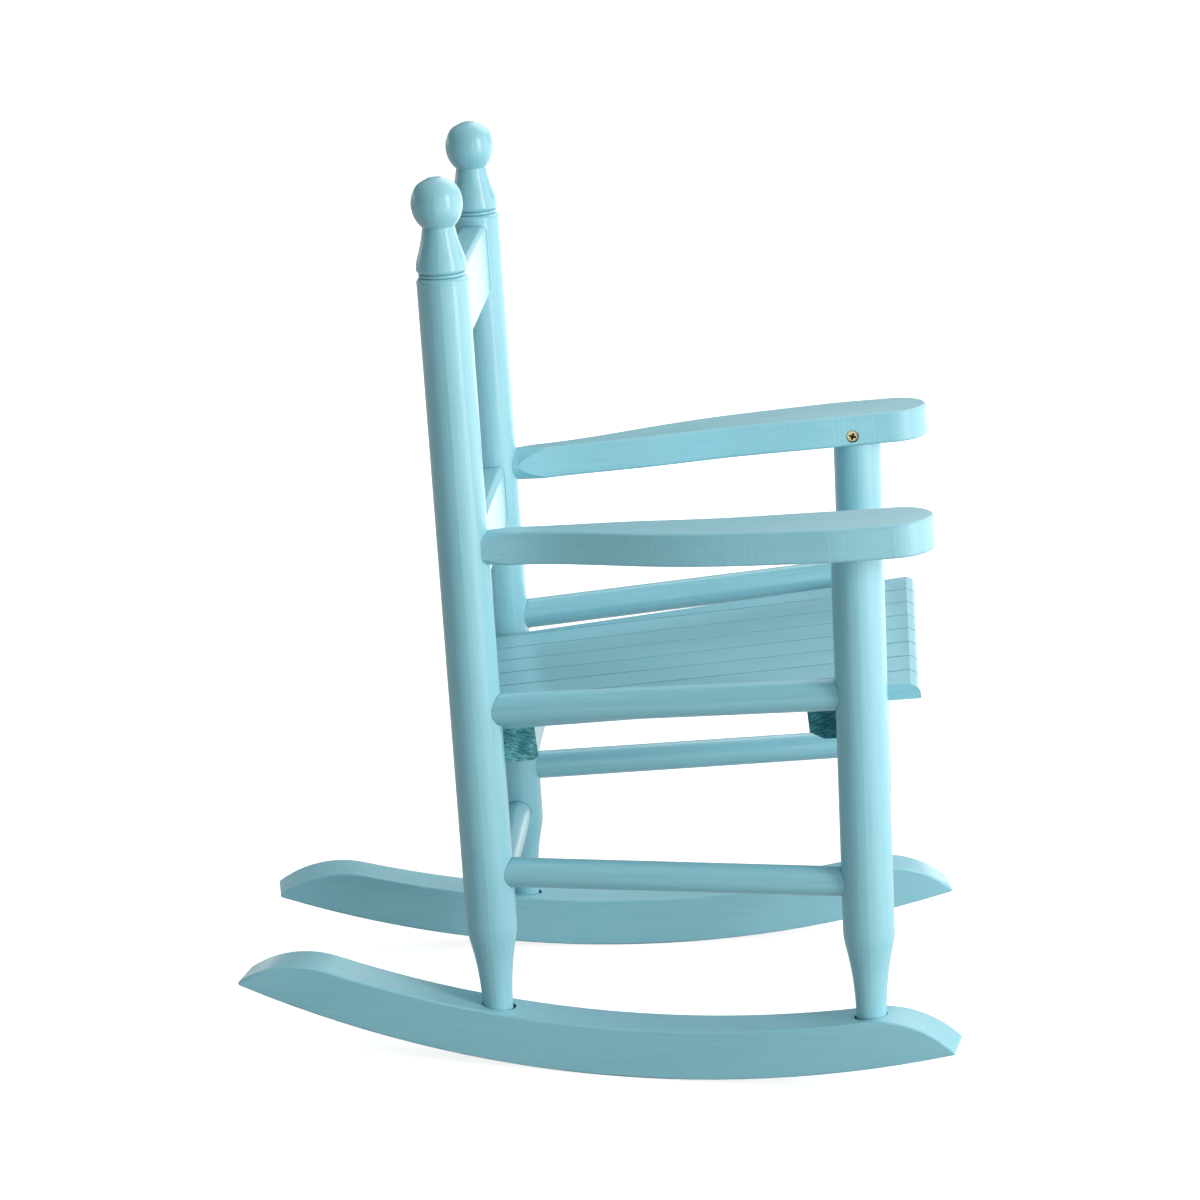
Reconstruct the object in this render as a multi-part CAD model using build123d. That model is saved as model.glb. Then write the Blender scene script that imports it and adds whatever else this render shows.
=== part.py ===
from build123d import *

import os
from math import atan, cos, degrees, hypot, radians, sin, sqrt, tan

# A child's ladder-back rocking chair: turned posts, sawn rockers, paddle arms and a slatted seat.
# Millimetres. The chair faces -Y, +Z is up, and the origin is on the floor at the centre of the footprint.
# Every paired piece is modelled on the chair's left (+X) and mirrored to its right.

# ---------------------------------------------------------------- driving dimensions

# Stance: where the post axes meet the floor plane, measured from the middle of the rocking arc.
rear_foot_back = 78.1
front_foot_ahead = 160.8
rear_half_spacing = 117.6
front_half_spacing = 155.8
rear_lean = 3.85
front_lean = 2.6

# Rockers: one sawn board on each side, rounded over at both ends.
rocker_radius = 761.6
rocker_top_radius = 792.0
rocker_height = 32.6
rocker_thickness = 33.0
rocker_rear_reach = 252.6
rocker_front_reach = 217.8
rocker_rear_crest = 192.0
rocker_front_crest = 158.0
rocker_edge = 1.6
rocker_tip_round = 1.5

# Posts: turned, with a tapered foot glued into a bored hole in the rocker.
post_radius = 16.25
foot_radius = 9.7
foot_taper = 57.0
foot_depth = 20.0
socket_slack_depth = 4.0
rear_socket_slack = (0.0, -1.8, 0.0)
front_socket_slack = (1.2, 1.2, 0.0)
foot_hole_clearance = 0.5
# Each row: share of the taper's height above the rocker, share of the growth from foot to post.
foot_profile = ((0.29, 0.11), (0.53, 0.35), (0.76, 0.73))

# Finial of the rear post: ball, cone and groove, measured down from the ball's centre.
overall_height = 572.2
ball_rise = 15.7
ball_radius = 16.0
ball_height = 30.6
neck_radius = 10.1
neck_flare = 0.17
cone_radius = 15.8
cone_foot_drop = 39.9
groove_drop = 44.4
groove_radius = 13.5
groove_ring_radius = 14.9
groove_ring_half_width = 1.1
bead_drop = 50.0
turned_edge_round = 0.35
# Each row: share of the ball's height above the neck, share of its radius.
ball_profile = ((0.14, 0.84), (0.32, 0.975), (0.52, 1.0), (0.78, 0.85), (0.91, 0.6), (0.978, 0.32))
# Each row: share of the cone's height from its foot to the neck, share of the narrowing by then.
cone_profile = ((0.36, 0.34), (0.68, 0.75))

# Round bars between the posts.
stretcher_radius = 9.5
rung_radius = 10.0
bar_seat = 14.0
bar_end_gap = 0.6
bar_clearance = 0.2
bar_chamfer = 1.0
side_stretcher_rear_height = 126.5
side_stretcher_front_height = 136.3
side_rung_rear_height = 233.0
side_rung_front_height = 258.7
rear_stretcher_height = 96.6
front_stretcher_height = 106.4

# Back rails: flat boards let into the inner sides of the rear posts.
rail_thickness = 16.5
top_rail_height = 45.0
lower_rail_height = 38.5
rail_seat = 9.0
rail_edge = 1.5
rail_front_edge = 4.0
rail_clearance = 0.15
top_rail_drop = 67.7
rail_spacing = 163.8

# Seat: eight slats on two battens, sloping down to the back.
slat_count = 8
slat_thickness = 9.9
slat_gap = 1.1
slat_rear_height = 222.9
slat_front_height = 261.0
slat_rear_overhang = 12.0
slat_front_overhang = 36.4
slat_rear_pitch = 32.0
slat_front_pitch = 34.5
seat_rear_half_width = 99.0
seat_front_half_width = 138.0
slat_nose_back = 5.9
slat_nose_drop = 3.6
slat_nose_round = 5.5
slat_edge = 1.0
rear_batten_width = 25.8
front_batten_width = 24.0
batten_height = 22.0
batten_edge = 4.5
batten_bevel_width = 9.2
batten_bevel_height = 5.0
batten_inset = 0.8
seat_rung_clearance = 0.1

# Arms: a sawn paddle with a round neck in the rear post, bored from below for the front post.
arm_rear_height = 338.1
arm_front_height = 361.0
arm_thickness = 21.0
arm_edge = 1.8
arm_front_overhang = 48.2
arm_end_radius = 25.0
arm_end_shift = 4.8
arm_root_half_width = 10.6
arm_neck_radius = 10.8
arm_neck_facet = 24.0
arm_neck_taper = 0.13
arm_neck_inner = 10.2
arm_neck_outer = 7.6
arm_waist_inner = 12.2
arm_waist_outer = 21.5
arm_swell_inner = 11.0
arm_swell_outer = 33.0
arm_pad_inner = 15.3
arm_pad_outer = 34.6
arm_tenon_radius = 6.0
arm_tenon_seat = 13.0
arm_shoulder_clearance = 0.1
post_tenon_radius = 9.5
post_tenon_height = 13.0

# Where those widths lie, as shares of the arm's length from post to post.
arm_neck_share = 0.16
arm_waist_share = 0.41
arm_swell_share = 0.66
arm_pad_share = 0.88

# Screws: countersunk, with a cross recess.
arm_screw_radius = 2.1
arm_screw_head = 4.1
arm_screw_length = 24.0
arm_screw_back = 3.0
arm_screw_below = 3.6
arm_screw_sink = 0.2
seat_screw_radius = 2.0
seat_screw_head = 3.9
seat_screw_length = 33.0
seat_screw_spacing = 70.0
slat_screw_radius = 1.5
slat_screw_head = 2.9
slat_screw_length = 26.0
rocker_screw_radius = 2.5
rocker_screw_head = 4.8
rocker_screw_length = 26.0
rocker_screw_sink = 2.0
screw_clearance = 0.05
# Shares of the head's radius and depth taken by the cross recess.
recess_span = 1.15
recess_slot = 0.38
recess_turn = -13.0
recess_depth = 0.8

# ---------------------------------------------------------------- places worked out from them

toe = atan((front_half_spacing - rear_half_spacing) / (rear_foot_back + front_foot_ahead))
contact_y = -(rocker_rear_reach - rocker_front_reach) / 2 * cos(toe)
contact_x = rear_half_spacing + rear_foot_back * tan(toe)
rear_slope = tan(radians(rear_lean))
front_slope = tan(radians(front_lean))


def rear_axis(height):
    """Point on the left rear post's axis at a height."""
    return Vector(rear_half_spacing, contact_y + rear_foot_back + height * rear_slope, height)


def front_axis(height):
    """Point on the left front post's axis at a height."""
    return Vector(front_half_spacing, contact_y - front_foot_ahead + height * front_slope, height)


def rocker_top(y):
    """Height of the rocker's concave top above the floor at a place along the chair."""
    along = (contact_y - y) / cos(toe)
    return rocker_height + rocker_top_radius - sqrt(rocker_top_radius**2 - along**2)


def rocker_bottom(y):
    """Height of the rocker's curved underside above the floor at a place along the chair."""
    along = (contact_y - y) / cos(toe)
    return rocker_radius - sqrt(rocker_radius**2 - along**2)


seat_rear_y = rear_axis(slat_rear_height).Y + slat_rear_overhang
seat_front_y = front_axis(slat_front_height).Y - slat_front_overhang
seat_slope = atan((slat_front_height - slat_rear_height) / (seat_rear_y - seat_front_y))
slat_length = hypot(slat_front_height - slat_rear_height, seat_rear_y - seat_front_y)

arm_rear = rear_axis(arm_rear_height)
arm_front = front_axis(arm_front_height)
arm_slope = atan((arm_front_height - arm_rear_height) / (arm_rear.Y - arm_front.Y))
arm_span = hypot(arm_front_height - arm_rear_height, arm_rear.Y - arm_front.Y)
arm_end_along = arm_span + arm_front_overhang - arm_end_radius

# Widths of the arm to each side of the centre line over both posts: distance along, inward, outward.
arm_widths = (
    (arm_neck_share * arm_span, arm_neck_inner, arm_neck_outer),
    (arm_waist_share * arm_span, arm_waist_inner, arm_waist_outer),
    (arm_swell_share * arm_span, arm_swell_inner, arm_swell_outer),
    (arm_pad_share * arm_span, arm_pad_inner, arm_pad_outer),
    (arm_end_along, arm_end_radius - arm_end_shift, arm_end_radius + arm_end_shift),
)

top_rail_top = overall_height - top_rail_drop
lower_rail_top = top_rail_top - rail_spacing
back_rails = ((top_rail_top, top_rail_height), (lower_rail_top, lower_rail_height))

# Frames whose local x runs across the chair and whose local -y runs forward up the slope.
seat_frame = Plane((0, seat_rear_y, slat_rear_height), (1, 0, 0), (0, sin(seat_slope), cos(seat_slope)))
arm_frame = Plane((0, arm_rear.Y, arm_rear.Z), (1, 0, 0), (0, sin(arm_slope), cos(arm_slope)))
rear_frame = Location(rear_axis(0), (-rear_lean, 0, 0))
front_frame = Location(front_axis(0), (-front_lean, 0, 0))


def axis_under(axis, frame, drop):
    """Point of a post axis that lies a distance under a sloping frame's plane."""
    low, high = axis(0), axis(overall_height)
    up = frame.z_dir
    low_gap = (low - frame.origin).dot(up)
    high_gap = (high - frame.origin).dot(up)
    share = (-drop - low_gap) / (high_gap - low_gap)
    return low + (high - low) * share


# ---------------------------------------------------------------- shapes used by several pieces


def turned(edges):
    """Solid of revolution about Z from the edges of a half outline in the XZ plane."""
    return revolve(make_face(edges), Axis.Z)


def bar(start, end, radius, chamfer_size=0.0):
    """Round bar from one point to another, its ends chamfered where a size is given."""
    run = end - start
    upright = Cylinder(radius, run.length, align=(Align.CENTER, Align.CENTER, Align.MIN))
    solid = Plane(start, z_dir=run) * upright
    if chamfer_size:
        solid = chamfer(solid.edges().filter_by(GeomType.CIRCLE), chamfer_size)
    return solid


def seated_bar(start, end, radius):
    """Round bar between two post axes, ending at its seats inside the posts."""
    run = (end - start).normalized() * (post_radius - bar_seat)
    return bar(start + run, end - run, radius, bar_chamfer)


def bar_hole(post_point, far_point, radius):
    """Blind hole in a post for the bar that leaves it towards a point."""
    run = (far_point - post_point).normalized()
    return bar(post_point + run * (post_radius - bar_seat - bar_end_gap), post_point + run * post_radius * 2,
               radius + bar_clearance)


def screw(point, outward, radius, head_radius, length):
    """Countersunk wood screw: head face at a point, shank running inward, cross recess in the head."""
    head_depth = head_radius - radius
    half = [
        Line((0, 0, 0), (head_radius, 0, 0)),
        Line((head_radius, 0, 0), (radius, 0, -head_depth)),
        Line((radius, 0, -head_depth), (radius, 0, -length + 2 * radius)),
        Line((radius, 0, -length + 2 * radius), (0, 0, -length)),
        Line((0, 0, -length), (0, 0, 0)),
    ]
    wing = head_radius * recess_span
    slot = head_radius * recess_slot
    depth = 2 * head_depth * recess_depth
    recess = Rot(0, 0, recess_turn) * (Box(wing, slot, depth) + Box(slot, wing, depth))
    return Plane(point, z_dir=outward) * (turned(half) - recess)


def screw_hole(point, outward, radius, head_radius, length):
    """Countersunk hole that a screw fills with a small clearance all round."""
    head_depth = head_radius - radius
    gap = screw_clearance
    half = [
        Line((0, 0, head_radius), (head_radius + gap, 0, head_radius)),
        Line((head_radius + gap, 0, head_radius), (head_radius + gap, 0, -gap)),
        Line((head_radius + gap, 0, -gap), (radius + gap, 0, -head_depth - gap)),
        Line((radius + gap, 0, -head_depth - gap), (radius + gap, 0, -length - gap)),
        Line((radius + gap, 0, -length - gap), (0, 0, -length - gap)),
        Line((0, 0, -length - gap), (0, 0, head_radius)),
    ]
    return Plane(point, z_dir=outward) * turned(half)


# ---------------------------------------------------------------- ends of the bars

rear_stretcher_end = rear_axis(rear_stretcher_height)
front_stretcher_end = front_axis(front_stretcher_height)
side_stretcher_ends = (rear_axis(side_stretcher_rear_height), front_axis(side_stretcher_front_height))
side_rung_ends = (rear_axis(side_rung_rear_height), front_axis(side_rung_front_height))
rung_drop = slat_thickness + rung_radius + seat_rung_clearance
rear_rung_end = axis_under(rear_axis, seat_frame, rung_drop)
front_rung_end = axis_under(front_axis, seat_frame, rung_drop)
cross_bars = (
    (rear_stretcher_end, stretcher_radius),
    (rear_rung_end, rung_radius),
    (front_stretcher_end, stretcher_radius),
    (front_rung_end, rung_radius),
)


def opposite(point):
    """The same place on the other side of the chair."""
    return Vector(-point.X, point.Y, point.Z)


# ---------------------------------------------------------------- screws that hold the seat, arms and rockers


def arm_screw_place():
    """Head of the arm screw: on the arm's inner edge, level with the front post's tenon."""
    along = arm_span - arm_screw_back
    inner = arm_edge_points(-1)
    before, after = inner[-2], inner[-1]
    share = (along - before[1]) / (after[1] - before[1])
    x = before[0] + (after[0] - before[0]) * share
    return arm_frame.from_local_coords(Vector(x - arm_screw_sink, -along, -arm_screw_below))


def seat_screw_places(batten_inner_along):
    """Heads of the screws through a batten into its seat rung, halfway up the batten."""
    height = -slat_thickness - batten_height / 2
    return [seat_frame.from_local_coords(Vector(x, -batten_inner_along, height))
            for x in (-seat_screw_spacing / 2, seat_screw_spacing / 2)]


def rocker_screw_place(axis):
    """Head of the screw under a foot, sunk into the rocker's underside on the post's axis."""
    start = axis(0)
    run = (axis(overall_height) - start).normalized()
    lift = rocker_bottom(start.Y) / run.Z + rocker_screw_sink
    return start + run * lift, run * -1


# ---------------------------------------------------------------- rockers


def make_rocker():
    """Board between a bottom and a flatter top arc, rounded over to a blunt tip at each end."""
    def bottom(along):
        return rocker_radius - sqrt(rocker_radius**2 - along**2)

    def top(along):
        return rocker_height + rocker_top_radius - sqrt(rocker_top_radius**2 - along**2)

    def top_direction(along):
        return Vector(1, along / sqrt(rocker_top_radius**2 - along**2)).normalized()

    rear_tip = (-rocker_rear_reach, bottom(rocker_rear_reach))
    front_tip = (rocker_front_reach, bottom(rocker_front_reach))
    rear_crest = (-rocker_rear_crest, top(rocker_rear_crest))
    front_crest = (rocker_front_crest, top(rocker_front_crest))
    outline = [
        ThreePointArc(rear_tip, (0, 0), front_tip),
        TangentArc(front_crest, front_tip, tangent=top_direction(rocker_front_crest)),
        ThreePointArc(rear_crest, (0, rocker_height), front_crest),
        TangentArc(rear_crest, rear_tip, tangent=top_direction(-rocker_rear_crest) * -1),
    ]
    face = make_face(outline)
    tips = face.vertices().sort_by(Axis.X)
    face = fillet([tips[0], tips[-1]], rocker_tip_round)
    board = extrude(face, rocker_thickness / 2, both=True)
    board = fillet(board.faces().filter_by(Axis.Z).edges(), rocker_edge)
    along = (sin(toe), -cos(toe), 0)
    across = (-cos(toe), -sin(toe), 0)
    board = Plane((contact_x, contact_y, 0), along, across) * board
    for axis, slack in ((rear_axis, rear_socket_slack), (front_axis, front_socket_slack)):
        mouth = axis(rocker_top(axis(rocker_height).Y))
        run = (axis(overall_height) - axis(0)).normalized()
        bottom = mouth - run * (foot_depth + bar_end_gap)
        board -= bar(bottom, mouth + run * foot_depth, foot_radius + foot_hole_clearance)
        slack_bottom = mouth + Vector(*slack) - run * socket_slack_depth
        board -= bar(slack_bottom, slack_bottom + run * foot_depth, foot_radius)
        place, outward = rocker_screw_place(axis)
        board -= screw_hole(place, outward, rocker_screw_radius, rocker_screw_head, rocker_screw_length)
    return board


# ---------------------------------------------------------------- posts


def foot_edges(mouth):
    """Half outline of a foot, from its end in the rocker up to the full post: a cone with a soft shoulder."""
    end = mouth - foot_depth
    growth = post_radius - foot_radius
    swell = [(foot_radius + share * growth, 0, mouth + height * foot_taper) for height, share in foot_profile]
    shoulder = (post_radius, 0, mouth + foot_taper)
    return [
        Line((0, 0, end), (foot_radius - bar_chamfer, 0, end)),
        Line((foot_radius - bar_chamfer, 0, end), (foot_radius, 0, end + bar_chamfer)),
        Line((foot_radius, 0, end + bar_chamfer), (foot_radius, 0, mouth)),
        Spline((foot_radius, 0, mouth), *swell, shoulder, tangents=((0, 0, 1), (0, 0, 1))),
    ]


def post_holes(post, axis, bars):
    """Bore a post for its bars, each given as its place on the post's axis, its far end and its radius."""
    for point, far, radius in bars:
        post -= bar_hole(point, far, radius)
    place, outward = rocker_screw_place(axis)
    return post - screw_hole(place, outward, rocker_screw_radius, rocker_screw_head, rocker_screw_length)


def make_rear_post():
    """Turned post with a ball finial, bored for bars and arm and mortised for the two back rails."""
    mouth = rocker_top(rear_axis(rocker_height).Y) / cos(radians(rear_lean))
    ball = (overall_height - ball_rise) / cos(radians(rear_lean))
    crown = ball + ball_rise
    neck = crown - ball_height
    cone_foot = ball - cone_foot_drop
    groove = ball - groove_drop
    bead = ball - bead_drop
    ring_foot = (groove_radius, 0, groove - groove_ring_half_width)
    ring_head = (groove_radius, 0, groove + groove_ring_half_width)
    bead_edge = (post_radius - turned_edge_round, 0, (bead + groove) / 2)
    cone_edge = (cone_radius - turned_edge_round, 0, (cone_foot + groove) / 2)
    narrowing = cone_radius - neck_radius
    cone = [(cone_radius - share * narrowing, 0, cone_foot + height * (neck - cone_foot))
            for height, share in cone_profile]
    knob = [(share * ball_radius, 0, neck + height * ball_height) for height, share in ball_profile]
    half = foot_edges(mouth) + [
        Line((post_radius, 0, mouth + foot_taper), (post_radius, 0, bead)),
        ThreePointArc((post_radius, 0, bead), bead_edge, ring_foot),
        ThreePointArc(ring_foot, (groove_ring_radius, 0, groove), ring_head),
        ThreePointArc(ring_head, cone_edge, (cone_radius, 0, cone_foot)),
        Spline((cone_radius, 0, cone_foot), *cone, (neck_radius, 0, neck),
               tangents=((0, 0, 1), (-neck_flare, 0, 1))),
        Spline((neck_radius, 0, neck), *knob, (0, 0, crown), tangents=((1, 0, 1), (-1, 0, 0))),
        Line((0, 0, crown), (0, 0, mouth - foot_depth)),
    ]
    post = rear_frame * turned(half)
    post = post_holes(post, rear_axis, (
        (side_stretcher_ends[0], side_stretcher_ends[1], stretcher_radius),
        (side_rung_ends[0], side_rung_ends[1], rung_radius),
        (rear_stretcher_end, opposite(rear_stretcher_end), stretcher_radius),
        (rear_rung_end, opposite(rear_rung_end), rung_radius),
    ))
    for top, height in back_rails:
        post -= make_rail(top, height, rail_clearance)
    return post - arm_tenon(arm_shoulder_clearance)


def make_front_post():
    """Plain turned post; its top is cut to the arm's underside and carries a round tenon up into the arm."""
    lean = cos(radians(front_lean))
    mouth = rocker_top(front_axis(rocker_height).Y) / lean
    top = axis_under(front_axis, arm_frame, 0).Z / lean
    half = foot_edges(mouth) + [
        Line((post_radius, 0, mouth + foot_taper), (post_radius, 0, top)),
        Line((post_radius, 0, top), (0, 0, top)),
        Line((0, 0, top), (0, 0, mouth - foot_depth)),
    ]
    post = front_frame * turned(half)
    post = split(post, arm_frame.offset(-arm_thickness / 2 - arm_shoulder_clearance), keep=Keep.BOTTOM)
    post += post_tenon(0.0)
    post = post_holes(post, front_axis, (
        (side_stretcher_ends[1], side_stretcher_ends[0], stretcher_radius),
        (side_rung_ends[1], side_rung_ends[0], rung_radius),
        (front_stretcher_end, opposite(front_stretcher_end), stretcher_radius),
        (front_rung_end, opposite(front_rung_end), rung_radius),
    ))
    place = arm_screw_place()
    return post - screw_hole(place, (-1, 0, 0), arm_screw_radius, arm_screw_head, arm_screw_length)


def post_tenon(gap):
    """Round tenon on top of the front post, or its hole in the arm where a gap is given."""
    base = axis_under(front_axis, arm_frame, arm_thickness / 2)
    run = (front_axis(overall_height) - front_axis(0)).normalized()
    top = base + run * (post_tenon_height + gap)
    return bar(base - run * post_tenon_height / 2, top, post_tenon_radius + gap)


# ---------------------------------------------------------------- back rails


def make_rail(top, height, gap=0.0):
    """Back rail between the rear posts, leaning with them; a gap swells it to cut its mortises."""
    section = Rectangle(rail_thickness + 2 * gap, height + 2 * gap)
    front_top = section.vertices().sort_by(Axis.X)[:2].sort_by(Axis.Y)[-1]
    section = fillet(front_top, rail_front_edge + gap)
    sharp = section.vertices().sort_by(Axis.X)[-2:] + section.vertices().sort_by(Axis.Y)[:1]
    section = fillet(sharp, rail_edge + gap)
    half_length = rear_half_spacing - post_radius + rail_seat + gap
    middle = rear_axis(top - height / 2 * cos(radians(rear_lean)))
    up = (0, sin(radians(rear_lean)), cos(radians(rear_lean)))
    back = Vector(0, cos(radians(rear_lean)), -sin(radians(rear_lean)))
    across = back.cross(Vector(*up))
    return Plane((0, middle.Y, middle.Z), back, across) * extrude(section, half_length, both=True)


# ---------------------------------------------------------------- arms


def arm_centre(along):
    """Distance of the arm's centre line from the chair's middle, over both post axes."""
    return rear_half_spacing + (front_half_spacing - rear_half_spacing) * along / arm_span


def arm_edge_points(side):
    """Points of the arm's outer (1) or inner (-1) edge, as across and along in the arm's frame."""
    return [(arm_centre(along) + side * (outward if side > 0 else inward), along)
            for along, inward, outward in arm_widths]


def arm_run():
    """Direction of the arm's neck, from the rear post axis forward along the centre line."""
    start = arm_frame.from_local_coords(Vector(arm_centre(0), 0, 0))
    neck_end = arm_neck_share * arm_span
    middle = arm_centre(neck_end) + (arm_neck_outer - arm_neck_inner) / 2
    return start, (arm_frame.from_local_coords(Vector(middle, -neck_end, 0)) - start).normalized()


def arm_tenon(gap):
    """Round tenon of the arm in the rear post, or its hole where a gap is given."""
    start, run = arm_run()
    end = start + run * (post_radius - arm_tenon_seat - gap)
    return bar(end, start + run * (post_radius + arm_tenon_seat), arm_tenon_radius + gap)


def make_arm():
    """Sawn paddle: round neck coped to the rear post, widening to a round front end."""
    outer = [Vector(x, -y) for x, y in arm_edge_points(1)]
    inner = [Vector(x, -y) for x, y in arm_edge_points(-1)]
    start, run = arm_run()
    centre = arm_centre(0)
    rear_outer = Vector(centre + arm_root_half_width, 0)
    rear_inner = Vector(centre - arm_root_half_width, 0)
    tip = Vector((outer[-1].X + inner[-1].X) / 2, -arm_span - arm_front_overhang)
    outline = [
        Spline(rear_outer, *outer, tangents=((0, -1), (0, -1))),
        ThreePointArc(outer[-1], tip, inner[-1]),
        Spline(*reversed(inner), rear_inner, tangents=((0, 1), (0, 1))),
        Line(rear_inner, rear_outer),
    ]
    arm = extrude(make_face(outline), arm_thickness / 2, both=True)
    rims = arm.faces().filter_by(Axis.Z).edges().filter_by(lambda edge: edge.center().Y < -1)
    arm = arm_frame * fillet(rims, arm_edge)
    arm &= neck_envelope(start, run)
    arm -= bar(rear_axis(0), rear_axis(overall_height), post_radius + arm_shoulder_clearance)
    arm += arm_tenon(0.0)
    arm -= post_tenon(bar_clearance)
    return arm - screw_hole(arm_screw_place(), (-1, 0, 0), arm_screw_radius, arm_screw_head, arm_screw_length)


def neck_envelope(start, run):
    """Slow cone that trims the neck's corners towards the post, then a wide one clear of the arm."""
    reach = arm_span + arm_front_overhang
    facet_end = (arm_neck_radius + arm_neck_taper * arm_neck_facet, 0, post_radius + arm_neck_facet)
    rim = (facet_end[0] + reach, 0, facet_end[2] + reach)
    half = [
        Line((0, 0, 0), (arm_neck_radius, 0, 0)),
        Line((arm_neck_radius, 0, 0), (arm_neck_radius, 0, post_radius)),
        Line((arm_neck_radius, 0, post_radius), facet_end),
        Line(facet_end, rim),
        Line(rim, (0, 0, rim[2])),
        Line((0, 0, rim[2]), (0, 0, 0)),
    ]
    return Plane(start, z_dir=run) * turned(half)


# ---------------------------------------------------------------- seat


def slat_lines(share):
    """Places across the seat of all slat joints and outer edges, at a share of the way to the front."""
    pitch = slat_rear_pitch + (slat_front_pitch - slat_rear_pitch) * share
    edge = seat_rear_half_width + (seat_front_half_width - seat_rear_half_width) * share
    joints = [pitch * (index - slat_count / 2) for index in range(1, slat_count)]
    return [-edge - slat_gap / 2] + joints + [edge + slat_gap / 2]


def batten_half_length(along):
    """Half of a batten's length at a distance from the seat's rear end."""
    share = along / slat_length
    half = seat_rear_half_width + (seat_front_half_width - seat_rear_half_width) * share
    return half - batten_inset


def batten_starts():
    """Distances of the rear side of each batten from the seat's rear end; each bears on its seat rung."""
    rear_rung = (rear_rung_end - seat_frame.origin).dot(seat_frame.y_dir) * -1
    front_rung = (front_rung_end - seat_frame.origin).dot(seat_frame.y_dir) * -1
    clear = rung_radius + seat_rung_clearance
    return rear_rung + clear, front_rung - clear - front_batten_width


def slat_screw_places():
    """Heads of the slat screws, in the middle of each slat over the middle of each batten."""
    places = []
    for start, width in zip(batten_starts(), (rear_batten_width, front_batten_width)):
        along = start + width / 2
        lines = slat_lines(along / slat_length)
        for left, right in zip(lines, lines[1:]):
            middle = (left + right) / 2
            point = Vector(middle, -along, -slat_thickness - batten_height)
            places.append(seat_frame.from_local_coords(point))
    return places


def nose_envelope():
    """Side view of the slats over the whole seat: flat, then bevelled and rounded down to the front."""
    corner = Vector(-slat_length, -slat_nose_drop)
    outline = Polyline(
        (0, 0), (slat_nose_back - slat_length, 0), corner,
        (-slat_length, -slat_thickness), (0, -slat_thickness), close=True,
    )
    face = make_face(outline)
    face = fillet(face.vertices().sort_by_distance(corner)[0], slat_nose_round)
    return extrude(Plane.YZ * face, front_half_spacing, both=True)


def make_slat(index):
    """One slat: a tapered board, its nose bevelled and rounded, its long upper edges eased."""
    rear = slat_lines(0.0)[index:index + 2]
    front = slat_lines(1.0)[index:index + 2]
    half_gap = slat_gap / 2
    corners = [
        (rear[0] + half_gap, 0), (rear[1] - half_gap, 0),
        (front[1] - half_gap, -slat_length), (front[0] + half_gap, -slat_length),
    ]
    board = extrude(make_face(Polyline(*corners, close=True)), -slat_thickness)
    top = board.faces().sort_by(Axis.Z)[-1]
    sides = top.edges().filter_by(lambda edge: abs((edge @ 1 - edge @ 0).Y) > slat_length / 2)
    board = fillet(sides, slat_edge)
    return seat_frame * (board & nose_envelope())


def make_batten(start, width, bevelled):
    """Sawn bar under the slats, ends along the seat's sides, lower edges eased or the rear one bevelled."""
    half_rear = batten_half_length(start)
    half_front = batten_half_length(start + width)
    plan = make_face(Polyline((-half_rear, -start), (half_rear, -start), (half_front, -start - width),
                              (-half_front, -start - width), close=True))
    board = extrude(plan, -batten_height)
    under = board.faces().sort_by(Axis.Z)[0]
    front_low, rear_low = under.edges().filter_by(Axis.X).sort_by(Axis.Y)
    if bevelled:
        board = chamfer(rear_low, batten_bevel_width, batten_bevel_height, reference=under)
    else:
        board = fillet([front_low, rear_low], batten_edge)
    return seat_frame.offset(-slat_thickness) * board


# ---------------------------------------------------------------- put together and written out

os.makedirs("parts", exist_ok=True)
pieces = {}


def add_pair(name, solid):
    """Keep a left-hand piece and its mirror image on the chair's right."""
    pieces[name + "_left"] = solid
    pieces[name + "_right"] = mirror(solid, about=Plane.YZ)


add_pair("rocker", make_rocker())
add_pair("rear_post", make_rear_post())
add_pair("front_post", make_front_post())
add_pair("side_stretcher", seated_bar(*side_stretcher_ends, stretcher_radius))
add_pair("seat_side_rung", seated_bar(*side_rung_ends, rung_radius))
add_pair("arm", make_arm())

rear_batten_start, front_batten_start = batten_starts()
forward = seat_frame.y_dir * -1
seat_screw_set = [(place, forward) for place in seat_screw_places(rear_batten_start + rear_batten_width)]
seat_screw_set += [(place, forward * -1) for place in seat_screw_places(front_batten_start)]
slat_screw_set = [(place, seat_frame.z_dir * -1) for place in slat_screw_places()]


def bore_all(solid, screws, radius, head, length):
    """Cut the holes of a set of screws."""
    for place, outward in screws:
        solid -= screw_hole(place, outward, radius, head, length)
    return solid


seat_size = (seat_screw_radius, seat_screw_head, seat_screw_length)
slat_size = (slat_screw_radius, slat_screw_head, slat_screw_length)
bar_names = ("rear_stretcher", "rear_seat_rung", "front_stretcher", "front_seat_rung")
for name, (end, radius) in zip(bar_names, cross_bars):
    cross = seated_bar(opposite(end), end, radius)
    if name.endswith("rung"):
        cross = bore_all(cross, seat_screw_set, *seat_size)
    pieces[name] = cross

pieces["top_back_rail"] = make_rail(*back_rails[0])
pieces["lower_back_rail"] = make_rail(*back_rails[1])
battens = {
    "rear_seat_batten": (rear_batten_start, rear_batten_width, False),
    "front_seat_batten": (front_batten_start, front_batten_width, True),
}
for name, place in battens.items():
    batten = bore_all(make_batten(*place), seat_screw_set, *seat_size)
    pieces[name] = bore_all(batten, slat_screw_set, *slat_size)
for index in range(slat_count):
    own = [slat_screw_set[index], slat_screw_set[index + slat_count]]
    pieces[f"seat_slat_{index + 1}"] = bore_all(make_slat(index), own, *slat_size)

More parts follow.
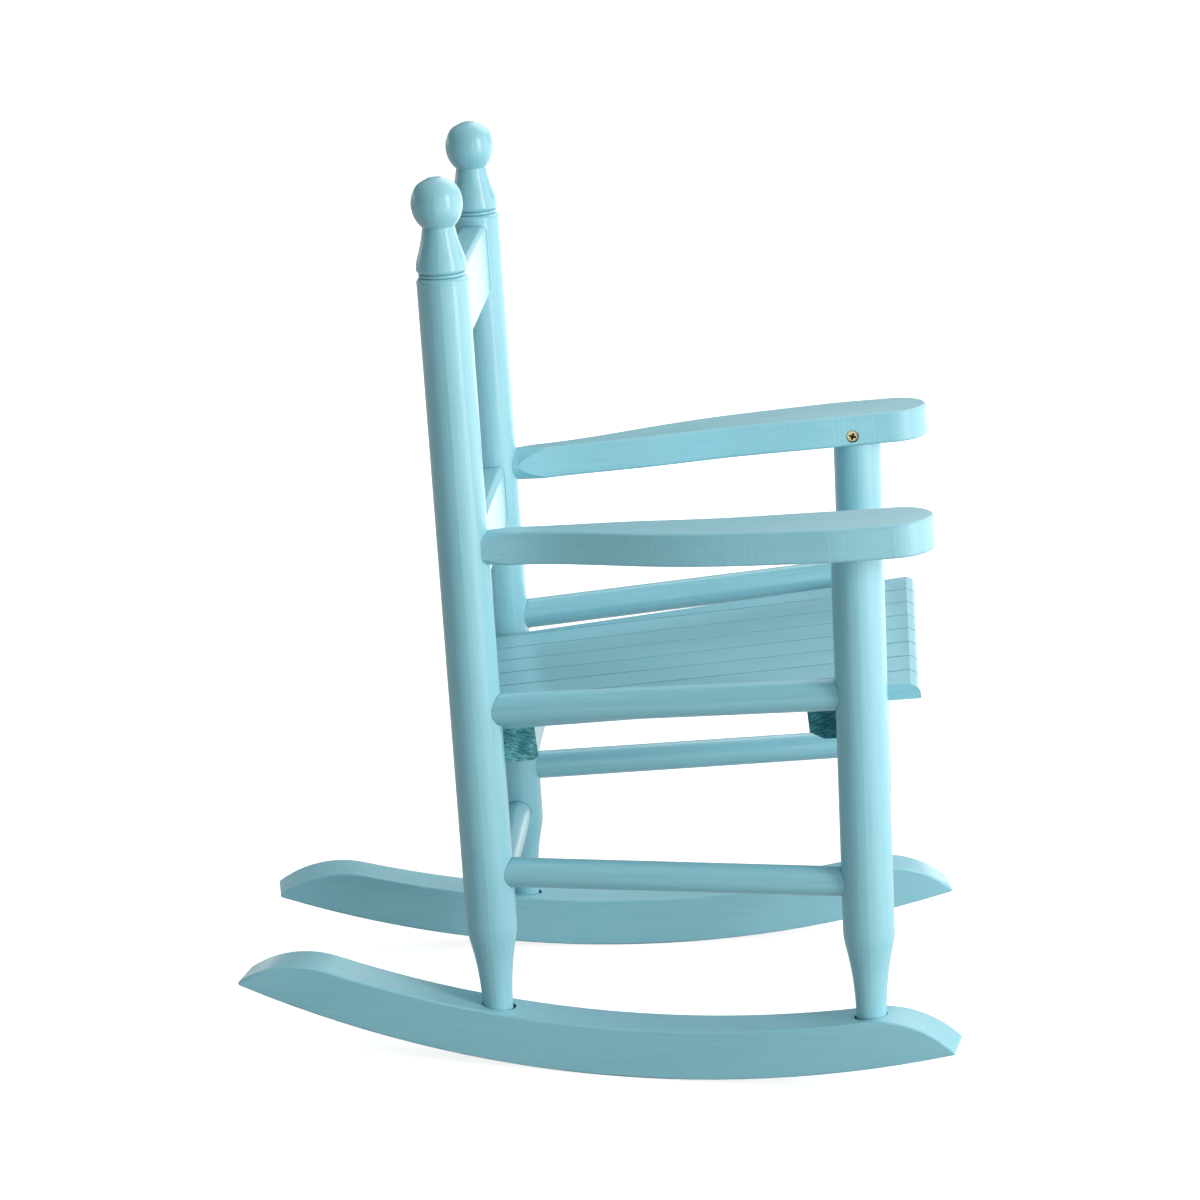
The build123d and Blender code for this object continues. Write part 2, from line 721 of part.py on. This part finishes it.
arm_screw = screw(arm_screw_place(), (-1, 0, 0), arm_screw_radius, arm_screw_head, arm_screw_length)
pieces["arm_screws"] = Compound([arm_screw, mirror(arm_screw, about=Plane.YZ)])
pieces["seat_screws"] = Compound([screw(*place, *seat_size) for place in seat_screw_set])
pieces["slat_screws"] = Compound([screw(*place, *slat_size) for place in slat_screw_set])
rocker_size = (rocker_screw_radius, rocker_screw_head, rocker_screw_length)
foot_screws = [screw(*rocker_screw_place(axis), *rocker_size) for axis in (rear_axis, front_axis)]
pieces["rocker_screws"] = Compound(foot_screws + [mirror(one, about=Plane.YZ) for one in foot_screws])

for name, solid in pieces.items():
    export_step(solid, f"parts/{name}.step")
print(len(pieces), "nodes; toe", round(degrees(toe), 2), "seat slope", round(degrees(seat_slope), 2))
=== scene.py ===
import math

import bpy
import numpy as np
from mathutils import Matrix, Vector

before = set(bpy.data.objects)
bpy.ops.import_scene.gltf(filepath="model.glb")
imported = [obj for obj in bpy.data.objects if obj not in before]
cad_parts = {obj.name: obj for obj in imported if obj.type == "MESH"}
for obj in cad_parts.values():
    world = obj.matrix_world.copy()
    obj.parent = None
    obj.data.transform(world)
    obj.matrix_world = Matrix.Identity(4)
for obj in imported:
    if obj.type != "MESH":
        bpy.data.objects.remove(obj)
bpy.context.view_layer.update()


# ---------------------------------------------------------------- rockers
# Two sawn hardwood boards, bored from above for the feet of the posts. Like the whole chair they are
# sanded and sprayed with one satin turquoise paint, through which the grain still shows as faint lines.

paint_colour = (0.272, 0.605, 0.700, 1.0)
paint_thin_colour = (0.200, 0.515, 0.610, 1.0)
paint_thin_share = 0.6
fibre_share = 0.6
cloud_share = 0.4
paint_roughness = (0.35, 0.46)
paint_coat = 0.45
# Painted shade: the paint darkens towards a dark teal where parts meet, in gaps and in grooves, by ambient
# occlusion.
painted_shade_colour = (0.020, 0.085, 0.105, 1.0)
painted_shade_darkness = 0.9
painted_shade_reach = 0.003
painted_shade_blend = 0.45
painted_shade_samples = 6

# Sizes of the marks in metres, twice across the piece and then along it, and the depths of their relief.
grain_size = (0.0016, 0.0016, 0.055)
brush_size = (0.006, 0.006, 0.16)
spray_size = (0.0045, 0.0045, 0.0045)
cloud_size = (0.05, 0.05, 0.11)
ring_size = (0.5, 0.5, 0.0018)
grain_depth = 0.00008
brush_depth = 0.00008
spray_depth = 0.00005

# The part of a noise's range that holds most of its values, and a narrower one for more contrast.
noise_range = (0.3, 0.7)
noise_middle = (0.35, 0.65)
seed_step = 11.0


def piece_points(node):
    """Places of a node's vertices, one row each."""
    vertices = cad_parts[node].data.vertices
    points = np.empty(len(vertices) * 3, np.float32)
    vertices.foreach_get("co", points)
    return points.reshape(-1, 3)


def piece_frame(node):
    """Centre of a node's box and the turn that takes Z to its longest direction, by the vertices' spread."""
    points = piece_points(node)
    centre = (points.min(0) + points.max(0)) / 2
    longest = np.linalg.eigh(np.cov((points - centre).T))[1][:, 2]
    return Vector(centre), Vector(longest).to_track_quat("Z", "Y").to_euler()


def set_inputs(node, **values):
    """Set a node's own sockets by name, an underscore standing for a space."""
    for name, value in values.items():
        node.inputs[name.replace("_", " ")].default_value = value


class Shader:
    """The nodes of a material or of the world, made and joined by short calls."""

    def __init__(self, owner, surface="Principled BSDF"):
        owner.use_nodes = True
        self.owner = owner
        self.nodes = owner.node_tree.nodes
        self.links = owner.node_tree.links
        self.surface = self.nodes[surface]

    def add(self, kind, **values):
        """A new node with its sockets set."""
        node = self.nodes.new(kind)
        set_inputs(node, **values)
        return node

    def join(self, source, target):
        """Join an output socket to an input socket."""
        self.links.new(source, target)

    def feed(self, socket, value):
        """Give an input socket a number or a colour, or join an output to it."""
        if isinstance(value, (int, float, tuple)):
            socket.default_value = value
        else:
            self.join(value, socket)

    def marks(self, coordinates, size, seed, detail=2.0, roughness=0.5):
        """Noise with marks of a size in metres in each direction, moved by a seed."""
        closeness = [1 / length for length in size]
        spaced = self.add("ShaderNodeMapping", Scale=closeness, Location=(seed, seed, seed))
        self.join(coordinates, spaced.inputs["Vector"])
        noise = self.add("ShaderNodeTexNoise", Scale=1.0, Detail=detail, Roughness=roughness)
        self.join(spaced.outputs["Vector"], noise.inputs["Vector"])
        return noise.outputs["Fac"]

    def remap(self, value, low, high, start, end, curve="LINEAR"):
        """A value from low to high turned into one from start to end."""
        node = self.nodes.new("ShaderNodeMapRange")
        node.interpolation_type = curve
        for socket, number in zip(node.inputs[1:5], (low, high, start, end)):
            socket.default_value = number
        self.join(value, node.inputs["Value"])
        return node.outputs["Result"]

    def maths(self, operation, first, second=0.0):
        """One or two values or numbers put together."""
        node = self.nodes.new("ShaderNodeMath")
        node.operation = operation
        for socket, value in zip(node.inputs, (first, second)):
            self.feed(socket, value)
        return node.outputs["Value"]

    def split(self, vector):
        """The sockets of a vector's X, Y and Z."""
        node = self.add("ShaderNodeSeparateXYZ")
        self.join(vector, node.inputs["Vector"])
        return node.outputs

    def mix(self, share, first, second):
        """Two colours mixed by a share."""
        node = self.nodes.new("ShaderNodeMix")
        node.data_type = "RGBA"
        self.join(share, node.inputs["Factor"])
        for socket, value in zip((s for s in node.inputs if s.type == "RGBA"), (first, second)):
            self.feed(socket, value)
        return next(s for s in node.outputs if s.type == "RGBA")

    def bump(self, height, distance, before=None):
        """Relief of a height from 0 to 1 over a distance in metres, on top of earlier relief."""
        node = self.add("ShaderNodeBump", Strength=1.0, Distance=distance)
        self.join(height, node.inputs["Height"])
        if before is not None:
            self.join(before, node.inputs["Normal"])
        return node.outputs["Normal"]


def finish(node, shader):
    """Give a CAD node one material in place of the plain one it came with."""
    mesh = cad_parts[node].data
    mesh.materials.clear()
    mesh.materials.append(shader.owner)


def satin_paint(node, seed, rings=0.0, grain=1.0, joints=0.6, ends=None):
    """Satin paint on one piece: grain and brushing along its length, spray texture, tool marks across it.
    It gets painted shade where parts meet and in gaps and grooves, where its open share of sky falls below a
    given share. Where end colours are given, the faces across its length are rough sawn end grain of those
    colours."""
    centre, turn = piece_frame(node)
    shader = Shader(bpy.data.materials.new("satin_paint_" + node))
    along = shader.add("ShaderNodeMapping")
    along.vector_type = "TEXTURE"
    set_inputs(along, Location=centre, Rotation=turn)
    shader.join(shader.add("ShaderNodeTexCoord").outputs["Object"], along.inputs["Vector"])
    place = along.outputs["Vector"]

    # Each kind of mark starts at a place of its own in the noise.
    fibres = shader.marks(place, grain_size, seed, detail=3.0, roughness=0.6)
    brush = shader.marks(place, brush_size, seed + 7)
    spray = shader.marks(place, spray_size, seed + 13)
    cloud = shader.marks(place, cloud_size, seed + 19, detail=1.0)

    streaks = shader.maths("MULTIPLY", fibres, fibre_share)
    film = shader.maths("ADD", streaks, shader.maths("MULTIPLY", cloud, cloud_share))
    thin = shader.remap(film, *noise_middle, 0.0, paint_thin_share)
    colour = shader.mix(thin, paint_colour, paint_thin_colour)
    # Painted shade where parts meet, in gaps and in grooves, from ambient occlusion.
    shade_occlusion = shader.add("ShaderNodeAmbientOcclusion", Distance=painted_shade_reach)
    shade_occlusion.samples = painted_shade_samples
    painted_shade_share = shader.remap(shade_occlusion.outputs["AO"], joints - painted_shade_blend, joints, painted_shade_darkness, 0.0)
    colour = shader.mix(painted_shade_share, colour, painted_shade_colour)
    sheen = shader.remap(brush, *noise_range, *paint_roughness)

    relief = shader.bump(fibres, grain_depth * grain)
    relief = shader.bump(brush, brush_depth, relief)
    relief = shader.bump(spray, spray_depth, relief)
    if rings:
        cuts = shader.marks(place, ring_size, seed + 29, detail=1.0)
        relief = shader.bump(cuts, rings, relief)
    if ends:
        colour, sheen, relief = sawn_ends(shader, place, seed, colour, sheen, relief, ends)
    shader.join(colour, shader.surface.inputs["Base Color"])
    shader.join(sheen, shader.surface.inputs["Roughness"])
    shader.join(relief, shader.surface.inputs["Normal"])
    set_inputs(shader.surface, IOR=1.45, Coat_Weight=paint_coat, Coat_Roughness=0.2)
    finish(node, shader)


def paint_alike(nodes, seed, **look):
    """Paint like pieces, the marks of each moved on by one step from those of the last."""
    for number, node in enumerate(nodes):
        satin_paint(node, seed + seed_step * number, **look)


paint_alike(("rocker_left", "rocker_right"), 3.0, grain=1.6)


# ---------------------------------------------------------------- posts
# Four turned hardwood posts, the rear pair with a ball, a cone and a groove at the top. The lathe leaves
# fine rings round them under the paint.

posts = ("rear_post_left", "rear_post_right", "front_post_left", "front_post_right")
paint_alike(posts, 41.0, rings=0.00005, grain=1.5, joints=0.36)


# ---------------------------------------------------------------- stretchers and rungs
# Eight turned hardwood bars, glued into blind holes in the posts: four low stretchers, and four thicker
# rungs that carry the seat. They have the posts' rings, only fainter.

bars = ("side_stretcher_left", "side_stretcher_right", "rear_stretcher", "front_stretcher",
        "seat_side_rung_left", "seat_side_rung_right", "rear_seat_rung", "front_seat_rung")
paint_alike(bars, 101.0, rings=0.00003, joints=0.78)


# ---------------------------------------------------------------- back rails
# Two flat hardwood boards across the back, each end let into a mortise in a rear post and glued. Their
# front edges are rounded over.

paint_alike(("top_back_rail", "lower_back_rail"), 201.0, joints=0.36)


# ---------------------------------------------------------------- arms
# Sawn paddles, tenoned into the rear posts and resting on the front ones. The moulder that shaped their
# edges leaves fine upright marks. One brass cross-recess screw holds each to its front post.

paint_alike(("arm_left", "arm_right"), 241.0, rings=0.00016)

film_size = (0.0012, 0.0012, 0.0012)
film_depth = 0.00003
dull_share = 0.5


def screw_metal(node, colour, roughness):
    """Plated screw metal under a dull, patchy film; its shader, coordinates and colour, to be added to."""
    shader = Shader(bpy.data.materials.new("screw_metal_" + node))
    place = shader.add("ShaderNodeTexCoord").outputs["Object"]
    film = shader.marks(place, film_size, 5.0)
    dull = tuple(dull_share * part for part in colour[:3]) + (1.0,)
    shade = shader.mix(shader.remap(film, *noise_middle, 0.0, 1.0), colour, dull)
    shader.join(shade, shader.surface.inputs["Base Color"])
    shader.join(shader.remap(film, *noise_range, *roughness), shader.surface.inputs["Roughness"])
    shader.join(shader.bump(film, film_depth), shader.surface.inputs["Normal"])
    set_inputs(shader.surface, Metallic=1.0)
    finish(node, shader)
    return shader, place, shade


# Painted shade on the arm screws: their cross recesses and a crescent round each head's edge, most of it
# below and in front, are darkened.
brass = (0.95, 0.76, 0.42, 1.0)
brass_roughness = (0.19, 0.35)
painted_recess_shade = (0.012, 0.008, 0.005, 1.0)
recess_edge = 0.00025
shaded_rim_width = 0.0011
shadow_shift = Vector((0.0, 0.0003, 0.0004))
head_edge = 0.0003

# The faces of the heads are the vertices nearest to the chair's middle plane, to within head_edge.
points = piece_points("arm_screws")
head_face = float(np.abs(points[:, 0]).min())
heads = points[np.abs(points[:, 0]) < head_face + head_edge]
head_bottom = float(heads[:, 2].min())
head_top = float(heads[:, 2].max())
head_middle = Vector((0.0, heads[:, 1].mean(), (head_bottom + head_top) / 2))
head_radius = (head_top - head_bottom) / 2

shader, place, shade = screw_metal("arm_screws", brass, brass_roughness)
from_axis = shader.add("ShaderNodeVectorMath")
from_axis.operation = "SUBTRACT"
shader.join(place, from_axis.inputs[0])
from_axis.inputs[1].default_value = head_middle + shadow_shift
parts = shader.split(from_axis.outputs["Vector"])
depth = shader.maths("ABSOLUTE", parts["X"])
square_y = shader.maths("MULTIPLY", parts["Y"], parts["Y"])
square_z = shader.maths("MULTIPLY", parts["Z"], parts["Z"])
away = shader.maths("SQRT", shader.maths("ADD", square_y, square_z))
# Painted shade in the cross recess and in a crescent round the head's edge.
shaded_recess = shader.remap(depth, head_face + recess_edge, head_face + 2 * recess_edge, 0.0, 1.0)
shaded_rim = shader.remap(away, head_radius - shaded_rim_width, head_radius, 0.0, 1.0)
shaded_head = shader.mix(shader.maths("MAXIMUM", shaded_recess, shaded_rim), shade, painted_recess_shade)
shader.join(shaded_head, shader.surface.inputs["Base Color"])


# ---------------------------------------------------------------- seat battens
# Two sawn bars screwed onto the seat rungs. Their cut ends soak the paint up, so they stay dark and
# fibrous, the front one darker than the rear one.

rear_end_colours = ((0.030, 0.210, 0.250, 1.0), (0.260, 0.740, 0.770, 1.0))
front_end_colours = ((0.008, 0.130, 0.170, 1.0), (0.110, 0.480, 0.560, 1.0))
end_fleck = (0.0042, 0.0007, 0.03)
end_patch = (0.006, 0.009, 0.03)
end_patch_share = 0.5
end_torn = (0.62, 0.92)
end_facing = (0.75, 0.85)
end_slant = math.radians(16)
end_roughness = 0.35
end_depth = 0.0006


def sawn_ends(shader, place, seed, colour, sheen, relief, shades):
    """Mix slanting torn fibres, dull and without gloss, into the faces that point across the chair."""
    normal = shader.split(shader.add("ShaderNodeNewGeometry").outputs["Normal"])
    mask = shader.remap(shader.maths("ABSOLUTE", normal["X"]), *end_facing, 0.0, 1.0)
    slanted = shader.add("ShaderNodeMapping", Rotation=(0.0, 0.0, end_slant))
    shader.join(place, slanted.inputs["Vector"])
    slanted = slanted.outputs["Vector"]
    fleck = shader.marks(slanted, end_fleck, seed + 31, detail=3.0, roughness=0.65)
    patch = shader.marks(slanted, end_patch, seed + 37, detail=1.0)
    fibres = shader.maths("ADD", fleck, shader.maths("MULTIPLY", patch, end_patch_share))
    torn = shader.remap(fibres, *end_torn, 0.0, 1.0)
    colour = shader.mix(mask, colour, shader.mix(torn, *shades))
    sheen = shader.maths("ADD", sheen, shader.maths("MULTIPLY", mask, end_roughness))
    shader.join(shader.remap(mask, 0.0, 1.0, paint_coat, 0.0), shader.surface.inputs["Coat Weight"])
    return colour, sheen, shader.bump(shader.maths("MULTIPLY", torn, mask), end_depth, relief)


satin_paint("rear_seat_batten", 271.0, ends=rear_end_colours)
satin_paint("front_seat_batten", 282.0, ends=front_end_colours)


# ---------------------------------------------------------------- seat slats
# Eight hardwood boards from front to back with rounded noses, screwed to the battens from below. Plain
# steel screws hold them, and also the battens to the rungs and the feet of the posts to the rockers.

steel = (0.62, 0.63, 0.64, 1.0)
steel_roughness = (0.29, 0.45)

paint_alike(["seat_slat_" + str(number + 1) for number in range(8)], 301.0, grain=1.4, joints=0.97)

for node in ("seat_screws", "slat_screws", "rocker_screws"):
    screw_metal(node, steel, steel_roughness)


# ---------------------------------------------------------------- studio
# A sheet of pale paper under the chair, white where it is seen and glowing in the paint's reflections. Four
# soft lamps and the room light the chair, most from its front, and the camera stands at its right side.

floor_half = 9.0
floor_colour = (0.46, 0.46, 0.46, 1.0)
white = (1.0, 1.0, 1.0, 1.0)

# The floor's glow by the distance from the chair in metres: as it is seen, and as the paint mirrors it,
# which is weaker behind the chair.
seen_reach = (0.5, 1.6)
seen_glow = (0.84, 1.0)
mirrored_reach = (0.55, 1.4)
mirrored_glow = (0.45, 1.9)
behind_reach = (0.6, -0.5)
behind_share = (0.15, 1.0)

scene = bpy.context.scene
floor_mesh = bpy.data.meshes.new("floor")
floor_mesh.from_pydata([(-floor_half, -floor_half, 0), (floor_half, -floor_half, 0),
                        (floor_half, floor_half, 0), (-floor_half, floor_half, 0)], [], [(0, 1, 2, 3)])
floor = bpy.data.objects.new("floor", floor_mesh)
scene.collection.objects.link(floor)
paper = Shader(bpy.data.materials.new("floor_paper"))
set_inputs(paper.surface, Base_Color=floor_colour, Roughness=0.9, Specular_IOR_Level=0.0)
set_inputs(paper.surface, Emission_Color=white)
spot = paper.add("ShaderNodeTexCoord").outputs["Object"]
distance = paper.add("ShaderNodeVectorMath")
distance.operation = "LENGTH"
paper.join(spot, distance.inputs[0])
distance = distance.outputs["Value"]
rays = paper.add("ShaderNodeLightPath").outputs
behind = paper.remap(paper.split(spot)["Y"], *behind_reach, *behind_share)
mirrored = paper.maths("MULTIPLY", paper.remap(distance, *mirrored_reach, *mirrored_glow), behind)
mirrored = paper.maths("MULTIPLY", rays["Is Glossy Ray"], mirrored)
seen = paper.maths("MULTIPLY", rays["Is Camera Ray"], paper.remap(distance, *seen_reach, *seen_glow))
paper.join(paper.maths("MAXIMUM", seen, mirrored), paper.surface.inputs["Emission Strength"])
floor_mesh.materials.append(paper.owner)

# The room's light by direction, from -1 to 1 along each axis: a lit sheet low on the left, the lamps'
# glow in front, and the ceiling.
sheet_light = 2.1
sheet_across = (0.0, 0.7)
sheet_height = (0.15, 0.02)
front_light = 0.1
front_across = (0.3, -0.9)
ceiling_light = 0.77
ceiling_height = (0.15, 1.0)

world = bpy.data.worlds.new("studio")
scene.world = world
sky = Shader(world, "Background")
set_inputs(sky.surface, Color=white)
direction = sky.split(sky.add("ShaderNodeTexCoord").outputs["Generated"])


def side_light(axis, span, strength):
    """Soft light that grows over a span of a direction's part along an axis."""
    return sky.remap(direction[axis], *span, 0.0, strength, "SMOOTHSTEP")


sheet = sky.maths("MULTIPLY", side_light("X", sheet_across, sheet_light), side_light("Z", sheet_height, 1.0))
room = sky.maths("ADD", sheet, side_light("Y", front_across, front_light))
room = sky.maths("ADD", room, side_light("Z", ceiling_height, ceiling_light))
choose = sky.add("ShaderNodeMix", B=1.0)
sky.join(sky.add("ShaderNodeLightPath").outputs["Is Camera Ray"], choose.inputs["Factor"])
sky.join(room, choose.inputs["A"])
sky.join(choose.outputs["Result"], sky.surface.inputs["Strength"])


def softbox(name, place, target, width, height, power, colour):
    """Upright rectangular lamp at a place, turned towards a target."""
    light = bpy.data.lights.new(name, "AREA")
    light.shape = "RECTANGLE"
    light.size = width
    light.size_y = height
    light.energy = power
    light.color = colour
    lamp = bpy.data.objects.new(name, light)
    lamp.location = place
    lamp.rotation_euler = (Vector(target) - Vector(place)).to_track_quat("-Z", "Y").to_euler()
    scene.collection.objects.link(lamp)


warm_white = (1.0, 0.87, 0.83)
soft_white = (1.0, 0.96, 0.95)
cool_white = (0.73, 0.98, 1.0)
softbox("key_softbox", (-1.45, -2.1, 1.0), (0, 0, 0.25), 0.6, 1.9, 49.0, warm_white)
softbox("front_softbox", (0.2, -2.6, 0.9), (0, 0, 0.3), 1.6, 1.4, 19.0, warm_white)
softbox("side_softbox", (-3.2, -1.2, 1.2), (0, 0, 0.25), 1.6, 1.6, 21.0, cool_white)
softbox("far_softbox", (1.8, -0.9, 2.0), (0, 0, 0.2), 2.4, 2.0, 34.0, soft_white)

# The camera looks to the left and down, turned by yaw and pitch from the X axis.
camera_place = (-2.78967, -0.15485, 0.99549)
yaw = -0.0571
pitch = -0.2521
camera_data = bpy.data.cameras.new("side_camera")
camera_data.sensor_width = 36.0
camera_data.lens = 132.4
camera = bpy.data.objects.new("side_camera", camera_data)
ahead = Vector((math.cos(pitch) * math.cos(yaw), -math.cos(pitch) * math.sin(yaw), math.sin(pitch)))
aside = Vector((-math.sin(yaw), -math.cos(yaw), 0))
camera.matrix_world = Matrix((aside, aside.cross(ahead), -ahead)).transposed().to_4x4()
camera.location = camera_place
scene.collection.objects.link(camera)
scene.camera = camera
scene.view_settings.view_transform = "Standard"
